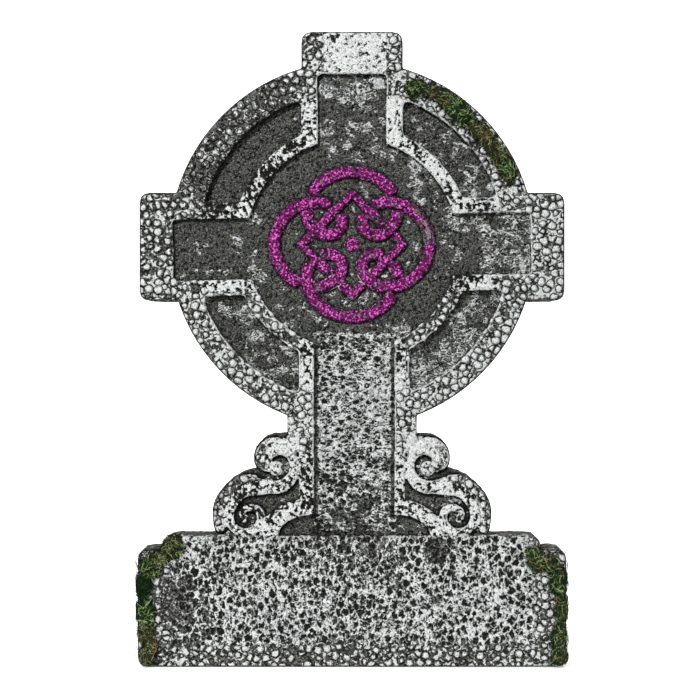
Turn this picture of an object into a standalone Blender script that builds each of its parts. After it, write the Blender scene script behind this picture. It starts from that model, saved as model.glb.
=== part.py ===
# Celtic cross tombstone for a garden display: one moulded foam cross on a plinth,
# with a ring, a knot, two pairs of scrolls and three glued clumps of moss.
# Metres, +Z up, front towards -Y, origin at the middle of the underside.

import bpy
import bmesh
from math import acos, asin, atan2, cos, degrees, exp, pi, radians, sin, sqrt, tan
from mathutils import Matrix, Vector

# The foam block that everything is cut from
BLOCK_DEPTH = 0.045
FRONT_ROUND = 0.008
BACK_ROUND = 0.003
CORNER_RADIUS = 0.0095

# Plinth: a wide slab with a narrower step on it
PLINTH_HALF = 0.189
PLINTH_HEIGHT = 0.104
STEP_HALF = 0.1663
STEP_RISE = 0.0115

# Ring and the four arms of the cross, measured from the centre of the ring
RING_RISE = 0.2572
RING_RADIUS = 0.1615
HEAD_REACH = 0.1873
HEAD_HALF = 0.0448
ARM_REACH = 0.1875
ARM_ABOVE = 0.0455
ARM_BELOW = 0.050
NECK_HALF = 0.0574
NECK_RISE = 0.0735

# Sunk cross in the front face, whose arms lean a little
FIELD_DEPTH = 0.006
FIELD_COVE = 0.0035
DISC_RADIUS = 0.0935
HEAD_FIELD_HALF = 0.0304
HEAD_END_BAND = 0.0373
ARM_FIELD_HALF = 0.0272
ARM_END_BAND = 0.0300
ARM_DROP = 0.0022
ARM_LEAN = radians(1.2)
PANEL_HALF = 0.0356
PANEL_SHIFT = 0.002

# Four deeper hollows between the cross and the ring
HOLLOW_DEPTH = 0.008
HOLLOW_COVE = 0.0045
RIM_ABOVE = 0.0262
RIM_BELOW = 0.0215
DISC_BAND = 0.0122
ARM_BAND = 0.0135
PANEL_BAND = 0.0130

# Foot of the shaft, which swells into a bell on the step
SHAFT_HALF = 0.0466
FLARE_REACH = 0.0814
FLARE_RISE = 0.033
FLARE_BAND = 0.014
SHAFT_ROUND = 0.003

# Scrolls beside the shaft: eyes as (across, above the step), pads and balls also with a
# radius, and strands round an eye as (angle in degrees, distance from the eye, width)
SCROLL_SINK = 0.0055
SCROLL_ROUND = 0.0025
UPPER_EYE = (0.0664, 0.0614)
LOWER_EYE = (0.0939, 0.0161)
UPPER_PAD = (0.0662, 0.0688, 0.0206)
LOWER_PAD = (0.0806, 0.0160, 0.0424)
UPPER_BALL = (0.0667, 0.0594, 0.0072)
LOWER_BALL = (0.0950, 0.0153, 0.0042)
UPPER_TURN = ((186, 0.0080, 0.0080), (168, 0.0116, 0.0125), (150, 0.0140, 0.0150),
              (120, 0.0165, 0.0166), (90, 0.0177, 0.0160), (45, 0.0162, 0.0094),
              (0, 0.0151, 0.0068), (-58, 0.0173, 0.0107), (-103, 0.0190, 0.0112))
LOWER_TURN = ((85, 0.0286, 0.0180), (105, 0.0238, 0.0150), (125, 0.0178, 0.0095),
              (150, 0.0152, 0.0074), (180, 0.0143, 0.0078), (240, 0.0131, 0.0068),
              (270, 0.0125, 0.0060), (330, 0.0135, 0.0070), (390, 0.0133, 0.0066),
              (420, 0.0104, 0.0057), (450, 0.0078, 0.0050), (500, 0.0040, 0.0042))
OUTER_TURN = ((78, 0.0335, 0.0100), (100, 0.0320, 0.0110), (122, 0.0281, 0.0112),
              (150, 0.0262, 0.0100), (180, 0.0244, 0.0090), (202, 0.0238, 0.0080))

# Knot: one closed strand of four lobes, woven through a square on its point
LOOP_ACROSS = 0.0687
LOOP_UP = 0.0642
LOOP_CURL = 0.373
SQUARE_REACH = 0.0446
LOOP_RADIUS = 0.0056
BAR_RADIUS = 0.0050
STRAND_GAP = 0.0013
KNOT_SINK = 0.0010
BOSS_RADIUS = 0.0066
BOSS_RISE = 0.0040
COLLAR_RADIUS = 0.0100
COLLAR_RISE = 0.0012

# Moss, a thin pad over the edges that it is glued to
MOSS_THICKNESS = 0.0040
MOSS_SIDE = 0.0018
MOSS_WRAP = 0.0100
MOSS_GAP = 0.0003
MOSS_ROUND = 0.0015
MOSS_FLOOR = 0.0040
RING_MOSS_START = radians(21)
RING_MOSS_END = radians(71)
RING_MOSS_WIDTH = 0.0120
RING_CLUMPS = ((27, 0.0060), (40, 0.0030), (54, 0.0090), (68, 0.0040))
CLUMP_SPREAD = 7
PLINTH_MOSS_WIDTH = 0.0165
STEP_MOSS_WIDTH = 0.0200
STEP_MOSS_HEIGHT = 0.0230
MOSS_WAVE = 0.0028
MOSS_WAVE_LENGTH = 0.026

front = -BLOCK_DEPTH / 2
back = BLOCK_DEPTH / 2
step_top = PLINTH_HEIGHT + STEP_RISE
ring_height = step_top + RING_RISE
ring_centre = (0, ring_height)
arm_centre = (0, ring_height - ARM_DROP)
field_floor = front + FIELD_DEPTH
bury = 0.010
standing = Matrix(((1, 0, 0, 0), (0, 0, -1, 0), (0, 1, 0, 0), (0, 0, 0, 1)))


def clear_scene():
    for thing in list(bpy.data.objects):
        bpy.data.objects.remove(thing, do_unlink=True)


def new_collection(name):
    group = bpy.data.collections.new(name)
    bpy.context.scene.collection.children.link(group)
    return group


def new_material(name, colour, roughness, metallic=0.0):
    material = bpy.data.materials.new(name)
    material.use_nodes = True
    shader = material.node_tree.nodes["Principled BSDF"]
    shader.inputs["Base Color"].default_value = (*colour, 1)
    shader.inputs["Roughness"].default_value = roughness
    shader.inputs["Metallic"].default_value = metallic
    return material


# Outlines, as lists of (across, up)

def arc(centre, radii, start, end, step=radians(7.5)):
    count = max(2, round(abs(end - start) / step))
    angles = [start + (end - start) * i / count for i in range(count + 1)]
    return [(centre[0] + radii[0] * cos(a), centre[1] + radii[1] * sin(a)) for a in angles]


def circle_between(centre, radius, first, last):
    start = atan2(first[1] - centre[1], first[0] - centre[0])
    end = atan2(last[1] - centre[1], last[0] - centre[0])
    turn = (end - start + pi) % (2 * pi) - pi
    return arc(centre, (radius, radius), start, start + turn)


def soften(points, radius, both_ways=True, steps=3):
    # Rounds the sharp corners of an outline that runs anticlockwise
    result = []
    for i, corner in enumerate(points):
        here = Vector(corner)
        before = (Vector(points[i - 1]) - here).normalized()
        after = (Vector(points[(i + 1) % len(points)]) - here).normalized()
        turn = pi - before.angle(after)
        hollow = before.cross(after) > 0
        if turn < radians(25) or (hollow and not both_ways):
            result.append(corner)
            continue
        room = 0.45 * min((Vector(points[i - 1]) - here).length,
                          (Vector(points[(i + 1) % len(points)]) - here).length)
        reach = min(radius * tan(turn / 2), room)
        start = here + before * reach
        end = here + after * reach
        for k in range(steps + 1):
            share = k / steps
            near = start.lerp(here, share)
            far = here.lerp(end, share)
            result.append(tuple(near.lerp(far, share)))
    return result


def rectangle(left, right, foot, top, radius):
    return soften([(left, foot), (right, foot), (right, top), (left, top)], radius)


def mirrored(outline):
    return [(-across, up) for across, up in reversed(outline)]


def arm_line_meets(radius, offset, side):
    # Where a line along the leaning arms, offset above their centre, meets a circle of the ring
    along = Vector((cos(ARM_LEAN), sin(ARM_LEAN)))
    above = Vector((-sin(ARM_LEAN), cos(ARM_LEAN)))
    start = Vector(arm_centre) + above * offset - Vector(ring_centre)
    middle = start.dot(along)
    root = sqrt(middle * middle - start.length_squared + radius * radius)
    return tuple(Vector(ring_centre) + start + along * (side * root - middle))


def arm_corner(reach, offset):
    along = Vector((cos(ARM_LEAN), sin(ARM_LEAN)))
    above = Vector((-sin(ARM_LEAN), cos(ARM_LEAN)))
    return tuple(Vector(arm_centre) + along * reach + above * offset)


def upright_meets(radius, across, side):
    return (across, ring_height + side * sqrt(radius * radius - across * across))


def bell_side(middle, half, swell_centre, reach, rise):
    # Right side of the shaft's foot, from the step up to the straight part
    across = reach - swell_centre
    end = acos((half - swell_centre) / across)
    return arc((middle + swell_centre, step_top), (across, rise), 0, end, radians(11))


def shaft_outline(top):
    right = bell_side(0, SHAFT_HALF, PANEL_HALF, FLARE_REACH, FLARE_RISE)
    foot = step_top - bury
    side = [(FLARE_REACH, foot)] + right + [(SHAFT_HALF, top)]
    return side + mirrored(side)


def cross_field_outline():
    radius = DISC_RADIUS
    head_top = ring_height + HEAD_REACH - HEAD_END_BAND
    arm_end = ARM_REACH - ARM_END_BAND
    half = ARM_FIELD_HALF
    panel_left = PANEL_SHIFT - PANEL_HALF
    panel_right = PANEL_SHIFT + PANEL_HALF
    bell = bell_side(0, PANEL_HALF, PANEL_HALF, FLARE_REACH - FLARE_BAND, FLARE_RISE - FLARE_BAND)
    bell_right = [(PANEL_SHIFT + across, up) for across, up in bell]
    bell_left = [(PANEL_SHIFT - across, up) for across, up in reversed(bell)]
    outline = circle_between(ring_centre, radius,
                             arm_line_meets(radius, half, 1),
                             upright_meets(radius, HEAD_FIELD_HALF, 1))
    outline += [(HEAD_FIELD_HALF, head_top), (-HEAD_FIELD_HALF, head_top)]
    outline += circle_between(ring_centre, radius,
                              upright_meets(radius, -HEAD_FIELD_HALF, 1),
                              arm_line_meets(radius, half, -1))
    outline += [arm_corner(-arm_end, half), arm_corner(-arm_end, -half)]
    outline += circle_between(ring_centre, radius,
                              arm_line_meets(radius, -half, -1),
                              upright_meets(radius, panel_left, -1))
    outline += bell_left + bell_right
    outline += circle_between(ring_centre, radius,
                              upright_meets(radius, panel_right, -1),
                              arm_line_meets(radius, -half, 1))
    outline += [arm_corner(arm_end, -half), arm_corner(arm_end, half)]
    return soften(outline, FIELD_COVE + 0.0005, both_ways=False)


def hollow_outline(side, level):
    outer = RING_RADIUS - (RIM_ABOVE if level > 0 else RIM_BELOW)
    inner = DISC_RADIUS + DISC_BAND
    if level > 0:
        across = side * HEAD_HALF
    else:
        across = PANEL_SHIFT + side * (PANEL_HALF + PANEL_BAND)
    offset = level * (ARM_FIELD_HALF + ARM_BAND)
    outline = circle_between(ring_centre, outer, arm_line_meets(outer, offset, side),
                             upright_meets(outer, across, level))
    outline += circle_between(ring_centre, inner, upright_meets(inner, across, level),
                              arm_line_meets(inner, offset, side))
    if side * level < 0:
        outline.reverse()
    return soften(outline, HOLLOW_COVE + 0.0005)


def scroll_pad_outline():
    # Two discs that overlap, with a straight side towards the shaft
    upper = Vector((UPPER_PAD[0], step_top + UPPER_PAD[1]))
    lower = Vector((LOWER_PAD[0], step_top + LOWER_PAD[1]))
    apart = (lower - upper).length
    near = (UPPER_PAD[2] ** 2 - LOWER_PAD[2] ** 2 + apart ** 2) / (2 * apart)
    half = sqrt(max(UPPER_PAD[2] ** 2 - near ** 2, 0))
    towards = (lower - upper) / apart
    notch = upper + towards * near + Vector((-towards.y, towards.x)) * half
    foot = step_top - bury
    sink = asin(max(-1, min(1, (foot - lower.y) / LOWER_PAD[2])))
    start = lower + Vector((cos(sink), sin(sink))) * LOWER_PAD[2]
    outline = circle_between(lower, LOWER_PAD[2], start, notch)
    outline += circle_between(upper, UPPER_PAD[2], notch, upper + Vector((0, UPPER_PAD[2])))[1:]
    inside = SHAFT_HALF - bury
    return outline + [(inside, upper.y + UPPER_PAD[2]), (inside, foot)]


def smooth_turn(stations, step=12):
    # Smooth values between the stations of a turn, every few degrees
    result = [stations[0]]
    for i in range(len(stations) - 1):
        before = stations[max(i - 1, 0)]
        here, there = stations[i], stations[i + 1]
        after = stations[min(i + 2, len(stations) - 1)]
        span = there[0] - here[0]
        count = max(1, round(abs(span) / step))
        for k in range(1, count + 1):
            share = k / count
            values = [here[0] + span * share]
            for axis in (1, 2):
                start = (there[axis] - before[axis]) / (there[0] - before[0]) * span
                end = (after[axis] - here[axis]) / (after[0] - here[0]) * span
                values.append((2 * share ** 3 - 3 * share ** 2 + 1) * here[axis]
                              + (share ** 3 - 2 * share ** 2 + share) * start
                              + (3 * share ** 2 - 2 * share ** 3) * there[axis]
                              + (share ** 3 - share ** 2) * end)
            result.append(tuple(values))
    return result


def turn_line(eye, stations):
    line = []
    for angle, radius, width in smooth_turn(stations):
        line.append((eye[0] - radius * cos(radians(angle)),
                     step_top + eye[1] + radius * sin(radians(angle)), width))
    return line


def scroll_centreline():
    # Points (across, up, width) of the strand, from the upper eye to the lower one
    upper = turn_line(UPPER_EYE, UPPER_TURN)
    lower = turn_line(LOWER_EYE, LOWER_TURN)
    middle = tuple((a + b) / 2 for a, b in zip(upper[-1], lower[0]))
    return upper + [middle] + lower


def ribbon_outline(line):
    # Both sides of a strand of changing width, closed by round ends
    left, right = [], []
    headings = []
    for i in range(len(line)):
        before = line[max(i - 1, 0)]
        after = line[min(i + 1, len(line) - 1)]
        headings.append(atan2(after[1] - before[1], after[0] - before[0]))
    for (across, up, width), heading in zip(line, headings):
        shift = (-sin(heading) * width / 2, cos(heading) * width / 2)
        left.append((across + shift[0], up + shift[1]))
        right.append((across - shift[0], up - shift[1]))
    start = arc(line[0][:2], (line[0][2] / 2,) * 2, headings[0] + pi / 2,
                headings[0] + pi * 1.5, radians(30))
    end = arc(line[-1][:2], (line[-1][2] / 2,) * 2, headings[-1] - pi / 2,
              headings[-1] + pi / 2, radians(30))
    return start[1:-1] + right + end[1:-1] + left[::-1]


# Solids

def mesh_from_curve(holder, upright=True):
    # Turns a curve into a closed mesh; an upright one has its flat outline stood up
    bpy.context.scene.collection.objects.link(holder)
    bpy.context.view_layer.update()
    evaluated = holder.evaluated_get(bpy.context.evaluated_depsgraph_get())
    mesh = bpy.data.meshes.new_from_object(evaluated)
    mesh.name = holder.name
    bpy.data.objects.remove(holder, do_unlink=True)
    if upright:
        mesh.transform(standing)
    return mesh


def slab(name, outline, face, rear, group, material, face_round=0.0, rear_round=0.0, steps=3):
    # A flat outline with thickness from face to rear, its two rims rounded
    curve = bpy.data.curves.new(name, "CURVE")
    curve.dimensions = "2D"
    curve.fill_mode = "BOTH"
    curve.extrude = (rear - face) / 2
    spline = curve.splines.new("POLY")
    spline.points.add(len(outline) - 1)
    for point, (across, up) in zip(spline.points, outline):
        point.co = (across, up, 0, 1)
    spline.use_cyclic_u = True
    mesh = mesh_from_curve(bpy.data.objects.new(name, curve))
    work = bmesh.new()
    work.from_mesh(mesh)
    bmesh.ops.remove_doubles(work, verts=work.verts, dist=1e-6)
    bmesh.ops.dissolve_limit(work, angle_limit=radians(0.5), verts=work.verts, edges=work.edges)
    bmesh.ops.recalc_face_normals(work, faces=work.faces)
    rim = max(face_round, rear_round)
    weight = work.edges.layers.float.new("bevel_weight_edge")
    for vertex in work.verts:
        vertex.co.y = face if vertex.co.y < 0 else rear
    for edge in work.edges:
        first, second = edge.verts
        if first.co.y != second.co.y or not rim:
            continue
        edge[weight] = (face_round if first.co.y == face else rear_round) / rim
    work.to_mesh(mesh)
    work.free()
    thing = bpy.data.objects.new(name, mesh)
    group.objects.link(thing)
    mesh.materials.append(material)
    if rim:
        bevel = thing.modifiers.new("Rounded rims", "BEVEL")
        bevel.limit_method = "WEIGHT"
        bevel.width = rim
        bevel.segments = steps
    return thing


def tube(name, points, radius, depth, group, material):
    # A round strand along points (across, up), with its centre at the given depth
    curve = bpy.data.curves.new(name, "CURVE")
    curve.dimensions = "3D"
    curve.bevel_depth = radius
    curve.bevel_resolution = 3
    curve.use_fill_caps = True
    spline = curve.splines.new("POLY")
    spline.points.add(len(points) - 1)
    for point, (across, up) in zip(spline.points, points):
        point.co = (across, depth, up, 1)
    mesh = mesh_from_curve(bpy.data.objects.new(name, curve), upright=False)
    work = bmesh.new()
    work.from_mesh(mesh)
    bmesh.ops.remove_doubles(work, verts=work.verts, dist=1e-6)
    bmesh.ops.recalc_face_normals(work, faces=work.faces)
    work.to_mesh(mesh)
    work.free()
    mesh.materials.clear()
    mesh.materials.append(material)
    thing = bpy.data.objects.new(name, mesh)
    group.objects.link(thing)
    return thing


def dome(name, centre, radius, rise, group, material):
    mesh = bpy.data.meshes.new(name)
    work = bmesh.new()
    bmesh.ops.create_uvsphere(work, u_segments=20, v_segments=10, radius=radius)
    work.to_mesh(mesh)
    work.free()
    mesh.transform(Matrix.Diagonal((1, 1, rise / radius, 1)))
    mesh.transform(standing)
    mesh.transform(Matrix.Translation(centre))
    mesh.materials.append(material)
    thing = bpy.data.objects.new(name, mesh)
    group.objects.link(thing)
    return thing


def combine(target, operand, operation):
    step = target.modifiers.new(f"{operation.lower()} {operand.name}", "BOOLEAN")
    step.operation = operation
    step.object = operand
    step.solver = "EXACT"
    step.material_mode = "TRANSFER"
    operand.hide_render = True
    operand.display_type = "WIRE"


# The knot

def loop_point(turn):
    across = (1 - LOOP_CURL) * cos(turn) + LOOP_CURL * cos(5 * turn)
    up = (1 - LOOP_CURL) * sin(turn) + LOOP_CURL * sin(5 * turn)
    return (LOOP_ACROSS * across, ring_height + LOOP_UP * up)


def square_point(turn):
    # A square on its point, walked once round as turn goes from 0 to 2 pi
    side = int(turn // (pi / 2)) % 4
    share = (turn % (pi / 2)) / (pi / 2)
    first = side * pi / 2
    corners = [(cos(a), sin(a)) for a in (first, first + pi / 2)]
    return tuple(base + SQUARE_REACH * ((1 - share) * a + share * b)
                 for base, a, b in zip(ring_centre, *corners))


def crossing_turn(inside):
    # Angle from a quarter's diagonal to where the strand crosses itself, or the square
    low, high = (0.05, 0.35) if inside else (0.35, 0.60)
    for _ in range(40):
        middle = (low + high) / 2
        radial = (1 - LOOP_CURL) * cos(middle) - LOOP_CURL * cos(5 * middle)
        aside = (1 - LOOP_CURL) * sin(middle) - LOOP_CURL * sin(5 * middle)
        mean_reach = (LOOP_ACROSS + LOOP_UP) / 2
        beyond = radial * mean_reach > SQUARE_REACH / sqrt(2) if inside else aside > 0
        if beyond:
            high = middle
        else:
            low = middle
    return (low + high) / 2


def stretch(path, start, end, steps):
    return [path(start + (end - start) * i / steps) for i in range(steps + 1)]


def visible_runs(points, hidden):
    # Splits a closed walk into the runs of points that no strand covers
    first = next(i for i in range(len(points)) if hidden[i])
    runs, run = [], []
    for k in range(len(points)):
        i = (first + k) % len(points)
        if hidden[i]:
            if len(run) > 1:
                runs.append(run)
            run = []
        else:
            run.append(points[i])
    if len(run) > 1:
        runs.append(run)
    return runs


def near_line(point, line, distance):
    here = Vector(point)
    for first, second in zip(line, line[1:]):
        start, along = Vector(first), Vector(second) - Vector(first)
        share = max(0, min(1, (here - start).dot(along) / along.length_squared))
        if (start + along * share - here).length < distance:
            return True
    return False


def thinned(run, every):
    return run[:-1:every] + [run[-1]] if (len(run) - 1) % every else run[::every]


def knot_strands():
    # Which strand runs under, quarter by quarter: the loop at its own crossing, the loop
    # at the square, and the square at the loop, each as a side of the quarter's diagonal
    quarters = ((1, 1, -1), (3, -1, 1), (5, -1, 1), (7, -1, -1))
    own, inner = crossing_turn(False), crossing_turn(True)
    steps = 960
    turns = [2 * pi * i / steps for i in range(steps)]
    loop = [loop_point(turn) for turn in turns]
    square = [square_point(turn) for turn in turns]
    under_loop, under_square = [], []
    reach = 0.16
    for quarter, own_side, inner_side in quarters:
        diagonal = quarter * pi / 4
        over = diagonal - own_side * own
        under_loop.append((diagonal + own_side * own,
                           stretch(loop_point, over - reach, over + reach, 12),
                           LOOP_RADIUS + STRAND_GAP))
        crossed = loop_point(diagonal + inner_side * inner)
        bar = [square_point(diagonal - pi / 4 + 0.001), square_point(diagonal + pi / 4 - 0.001)]
        under_loop.append((diagonal + inner_side * inner, bar, BAR_RADIUS + STRAND_GAP))
        over = diagonal - inner_side * inner
        under_square.append((loop_point(over),
                             stretch(loop_point, over - reach, over + reach, 12),
                             LOOP_RADIUS + STRAND_GAP))
    hidden = [any(abs((turn - place + pi) % (2 * pi) - pi) < 1.6 * reach
                  and near_line(point, line, gap) for place, line, gap in under_loop)
              for turn, point in zip(turns, loop)]
    covered = [any((Vector(point) - Vector(place)).length < 4 * LOOP_RADIUS
                   and near_line(point, line, gap) for place, line, gap in under_square)
               for point in square]
    return visible_runs(loop, hidden), visible_runs(square, covered)


def square_corners(run):
    # Keeps the ends of a run along the square and the corner between them
    corner = max(run, key=lambda point: max(abs(point[0]), abs(point[1] - ring_height)))
    return [run[0], corner, run[-1]]


# The stone

def build_stone(group, cutters, paint, glitter):
    stone = slab("cross_stone", arc(ring_centre, (RING_RADIUS,) * 2, 0, 2 * pi, radians(4))[:-1],
                 front, back, group, paint, FRONT_ROUND, BACK_ROUND)

    def body(name, outline, face=front, face_round=FRONT_ROUND):
        piece = slab(name, outline, face, back, cutters, paint, face_round, BACK_ROUND)
        combine(stone, piece, "UNION")

    def cut(name, outline, depth, cove):
        piece = slab(name, outline, front - bury, front + depth, cutters, paint, 0, cove, 2)
        combine(stone, piece, "DIFFERENCE")

    arm_foot = ring_height - ARM_BELOW
    arm_top = ring_height + ARM_ABOVE
    body("arms", rectangle(-ARM_REACH, ARM_REACH, arm_foot, arm_top, CORNER_RADIUS))
    body("head", rectangle(-HEAD_HALF, HEAD_HALF, ring_height, ring_height + HEAD_REACH,
                           CORNER_RADIUS))
    body("neck", rectangle(-NECK_HALF, NECK_HALF, step_top + NECK_RISE, ring_height - ARM_BELOW,
                           CORNER_RADIUS))
    body("shaft", shaft_outline(ring_height - DISC_RADIUS), face_round=SHAFT_ROUND)
    body("plinth", rectangle(-PLINTH_HALF, PLINTH_HALF, 0, PLINTH_HEIGHT, CORNER_RADIUS))
    body("step", rectangle(-STEP_HALF, STEP_HALF, PLINTH_HEIGHT / 2, step_top, CORNER_RADIUS))
    pad = scroll_pad_outline()
    body("right_pad", pad, front + SCROLL_SINK, SCROLL_ROUND)
    body("left_pad", mirrored(pad), front + SCROLL_SINK, SCROLL_ROUND)

    cut("cross_field", cross_field_outline(), FIELD_DEPTH, FIELD_COVE)
    for level, height_word in ((1, "upper"), (-1, "lower")):
        for side, side_word in ((1, "right"), (-1, "left")):
            cut(f"{height_word}_{side_word}_hollow", hollow_outline(side, level),
                HOLLOW_DEPTH, HOLLOW_COVE)

    strands = {"scroll": ribbon_outline(scroll_centreline()),
               "outer_turn": ribbon_outline(turn_line(LOWER_EYE, OUTER_TURN))}
    strand_rear = front + SCROLL_SINK + bury
    for side, word in ((1, "right"), (-1, "left")):
        for name, strand in strands.items():
            outline = strand if side > 0 else mirrored(strand)
            piece = slab(f"{word}_{name}", outline, front, strand_rear, cutters, paint,
                         SCROLL_ROUND)
            combine(stone, piece, "UNION")
        for (across, up, radius), level in ((UPPER_BALL, "upper"), (LOWER_BALL, "lower")):
            centre = (side * across, front + SCROLL_SINK, step_top + up)
            piece = dome(f"{word}_{level}_eye", centre, radius, SCROLL_SINK, cutters, paint)
            combine(stone, piece, "UNION")

    add_knot(stone, cutters, glitter)
    return stone


def add_knot(stone, cutters, glitter):
    strand_depth = field_floor + KNOT_SINK
    loops, bars = knot_strands()
    for number, run in enumerate(loops, 1):
        points = thinned(run, 9)
        combine(stone, tube(f"loop_{number}", points, LOOP_RADIUS, strand_depth, cutters, glitter),
                "UNION")
    for number, run in enumerate(bars, 1):
        points = square_corners(run)
        combine(stone, tube(f"bar_{number}", points, BAR_RADIUS, strand_depth, cutters, glitter),
                "UNION")
    collar = slab("collar", arc(ring_centre, (COLLAR_RADIUS,) * 2, 0, 2 * pi, radians(18))[:-1],
                  field_floor - COLLAR_RISE, field_floor + bury, cutters, glitter,
                  COLLAR_RISE / 2, 0, 1)
    combine(stone, collar, "UNION")
    boss = dome("boss", (0, field_floor, ring_height), BOSS_RADIUS, BOSS_RISE, cutters, glitter)
    combine(stone, boss, "UNION")


# The moss

def ring_moss_outline():
    # A strip along the rim that swells at each clump
    outer, inner = [], []
    middle = RING_RADIUS - (RIM_ABOVE + FRONT_ROUND / 2) / 2
    count = 24
    for i in range(count + 1):
        turn = RING_MOSS_START + (RING_MOSS_END - RING_MOSS_START) * i / count
        swell = sum(extra * exp(-((degrees(turn) - place) / CLUMP_SPREAD) ** 2)
                    for place, extra in RING_CLUMPS)
        taper = min(1, (i + 1) / 3, (count + 1 - i) / 3)
        half = (RING_MOSS_WIDTH / 2 + swell) * taper
        far = min(middle + half, RING_RADIUS - FRONT_ROUND / 3)
        near = middle - half
        outer.append((far * cos(turn), ring_height + far * sin(turn)))
        inner.append((near * cos(turn), ring_height + near * sin(turn)))
    return outer + inner[::-1]


def wavy_side(across, start, end):
    # The ragged inner side of a strip of moss, from one height to the other
    count = max(4, round(abs(end - start) / (MOSS_WAVE_LENGTH / 4)))
    points = []
    for i in range(count + 1):
        up = start + (end - start) * i / count
        points.append((across + MOSS_WAVE * sin(2 * pi * up / MOSS_WAVE_LENGTH), up))
    return points


def build_moss(group, cutters, moss):
    face = front - MOSS_THICKNESS
    rear = front + MOSS_WRAP
    gap = MOSS_GAP

    def clearance(name, outline):
        return slab(name, outline, front - gap, back + gap, cutters, moss, FRONT_ROUND + gap,
                    BACK_ROUND)

    ring_room = clearance("ring_room", arc(ring_centre, (RING_RADIUS + gap,) * 2, 0, 2 * pi,
                                           radians(4))[:-1])
    plinth_room = clearance("plinth_room", rectangle(
        -PLINTH_HALF - gap, PLINTH_HALF + gap, -gap, PLINTH_HEIGHT + gap, CORNER_RADIUS + gap))
    step_room = clearance("step_room", rectangle(
        -STEP_HALF - gap, STEP_HALF + gap, PLINTH_HEIGHT / 2, step_top + gap, CORNER_RADIUS + gap))

    ring_moss = slab("moss_ring", ring_moss_outline(), face, rear, group, moss, MOSS_ROUND, 0, 1)
    combine(ring_moss, ring_room, "DIFFERENCE")

    edge = PLINTH_HALF + MOSS_SIDE
    inside = edge - PLINTH_MOSS_WIDTH
    step_inside = STEP_HALF - STEP_MOSS_WIDTH
    top = step_top + MOSS_SIDE
    shelf = PLINTH_HEIGHT + MOSS_SIDE
    patch_foot = shelf - STEP_MOSS_HEIGHT
    left = [(edge, MOSS_FLOOR), (edge, shelf), (STEP_HALF + MOSS_SIDE, shelf),
            (STEP_HALF + MOSS_SIDE, top), (step_inside, top), (step_inside, patch_foot)]
    left += wavy_side(inside, patch_foot, MOSS_FLOOR)
    left = soften(left, CORNER_RADIUS)
    left_moss = slab("moss_plinth_left", mirrored(left), face, rear, group, moss, MOSS_ROUND, 0, 1)
    right = [(edge, MOSS_FLOOR), (edge, shelf), (step_inside, shelf), (step_inside, patch_foot)]
    right += wavy_side(inside, patch_foot, MOSS_FLOOR)
    right = soften(right, CORNER_RADIUS)
    right_moss = slab("moss_plinth_right", right, face, rear, group, moss, MOSS_ROUND, 0, 1)
    for piece in (left_moss, right_moss):
        combine(piece, plinth_room, "DIFFERENCE")
        combine(piece, step_room, "DIFFERENCE")


clear_scene()
parts = new_collection("celtic cross tombstone")
helpers = new_collection("cutters")
paint = new_material("grey foam paint", (0.36, 0.37, 0.36), 0.85)
glitter = new_material("magenta glitter paint", (0.42, 0.02, 0.28), 0.45, 0.3)
moss = new_material("glued moss", (0.07, 0.14, 0.03), 0.95)
build_stone(parts, helpers, paint, glitter)
build_moss(parts, helpers, moss)
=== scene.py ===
from math import cos, pi, radians, sin

import bmesh
import bpy
import numpy as np
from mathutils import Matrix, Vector
from mathutils.bvhtree import BVHTree
from mathutils.kdtree import KDTree


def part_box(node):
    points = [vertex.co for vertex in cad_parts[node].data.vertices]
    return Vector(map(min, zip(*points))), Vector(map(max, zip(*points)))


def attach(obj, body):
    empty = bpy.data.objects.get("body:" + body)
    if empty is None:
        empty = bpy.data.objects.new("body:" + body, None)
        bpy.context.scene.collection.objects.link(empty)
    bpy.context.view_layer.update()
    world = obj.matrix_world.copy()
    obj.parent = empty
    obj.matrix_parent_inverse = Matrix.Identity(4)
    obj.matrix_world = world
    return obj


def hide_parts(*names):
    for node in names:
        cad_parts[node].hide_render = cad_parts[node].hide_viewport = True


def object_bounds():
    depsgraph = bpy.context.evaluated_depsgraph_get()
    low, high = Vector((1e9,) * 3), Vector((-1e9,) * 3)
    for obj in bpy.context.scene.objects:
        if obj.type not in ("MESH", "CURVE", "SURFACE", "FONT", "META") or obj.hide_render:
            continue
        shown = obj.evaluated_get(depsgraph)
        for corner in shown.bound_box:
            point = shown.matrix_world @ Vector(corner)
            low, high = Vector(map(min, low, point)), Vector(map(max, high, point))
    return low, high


# Foam cross tombstone: beads and dry-brushed paint over the carved block, glitter on the
# knot, and glued moss. Metres in the scene, millimetres in the relief and paint values.
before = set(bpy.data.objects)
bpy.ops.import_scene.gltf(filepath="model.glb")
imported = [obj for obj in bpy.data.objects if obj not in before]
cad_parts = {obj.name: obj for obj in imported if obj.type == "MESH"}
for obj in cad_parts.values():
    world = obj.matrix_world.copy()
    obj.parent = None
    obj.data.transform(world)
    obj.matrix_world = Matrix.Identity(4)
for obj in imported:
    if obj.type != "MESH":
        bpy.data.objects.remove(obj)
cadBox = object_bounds()
mm = 0.001
print("frame loaded")


# Small helpers

def ease(values, low, high):
    share = np.clip((values - low) / (high - low), 0, 1)
    return share * share * (3 - 2 * share)


def addNode(tree, kind, inputs=None, **settings):
    node = tree.nodes.new(kind)
    for name, value in settings.items():
        setattr(node, name, value)
    for key, value in (inputs or {}).items():
        if isinstance(value, bpy.types.NodeSocket):
            tree.links.new(value, node.inputs[key])
        else:
            node.inputs[key].default_value = value
    return node


def calc(tree, operation, *values, clamp=False):
    inputs = dict(enumerate(values))
    return addNode(tree, "ShaderNodeMath", inputs, operation=operation,
                   use_clamp=clamp).outputs[0]


def sumOf(tree, *values):
    total = values[0]
    for value in values[1:]:
        total = calc(tree, "ADD", total, value)
    return total


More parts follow.
